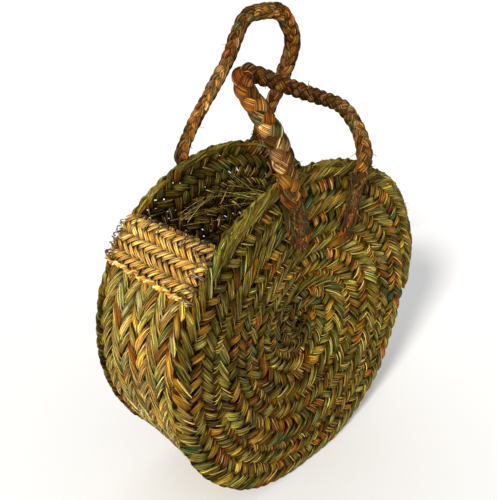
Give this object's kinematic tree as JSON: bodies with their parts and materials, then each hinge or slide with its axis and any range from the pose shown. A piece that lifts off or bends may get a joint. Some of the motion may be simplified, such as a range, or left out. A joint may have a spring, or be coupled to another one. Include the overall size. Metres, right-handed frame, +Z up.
{
  "type": "woven market basket",
  "caption": "Round basket of plaited esparto: coiled round panels joined by a side band, open at the top between folded straw bindings, with rope handles that swing on the rims.",
  "frame": {"origin": "bottom centre of the overall box, on the floor plane that the flattened bottom rests on", "axes": "+Z up through the mouth, +Y from the front panel to the back panel through the basket's depth, +X across the round panels"},
  "size_m": [0.38, 0.186, 0.5239],
  "materials": {
    "panel_plait": "plaited esparto, olive green and ochre, matt",
    "side_plait": "plaited esparto, straw green and orange, matt",
    "straw_binding": "plaited straw yellow esparto, matt",
    "handle_rope": "braided esparto rope, ochre and rust brown, matt",
    "sewing_cord": "twisted esparto cord, dark brown, matt",
    "twine": "grey brown twine, matt"
  },
  "bodies": {
    "basket": {"front_panel": "panel_plait", "back_panel": "panel_plait", "front_panel_seam_stitches": "sewing_cord", "back_panel_seam_stitches": "sewing_cord", "side_plait_front": "side_plait", "side_plait_back": "side_plait", "side_seam_cord": "sewing_cord", "front_edge_cord": "sewing_cord", "back_edge_cord": "sewing_cord", "mouth_binding_left": "straw_binding", "mouth_binding_right": "straw_binding", "mouth_ties_left": "twine", "mouth_ties_right": "twine", "front_handle_tail_left": "handle_rope", "front_handle_tail_right": "handle_rope", "front_tail_stitches_left": "sewing_cord", "front_tail_stitches_right": "sewing_cord", "back_handle_tail_left": "handle_rope", "back_handle_tail_right": "handle_rope", "back_tail_stitches_left": "sewing_cord", "back_tail_stitches_right": "sewing_cord"},
    "front_handle": {"front_handle_arch": "handle_rope"},
    "back_handle": {"back_handle_arch": "handle_rope"}
  },
  "joints": [
    {"name": "front_handle_swing", "type": "hinge", "parent": "basket", "child": "front_handle", "pos_m": [0, -0.084, 0.36864], "axis": [1, 0, 0], "range_deg": [-12, 160]},
    {"name": "back_handle_swing", "type": "hinge", "parent": "basket", "child": "back_handle", "pos_m": [0, 0.084, 0.36864], "axis": [-1, 0, 0], "range_deg": [-12, 145]}
  ]
}
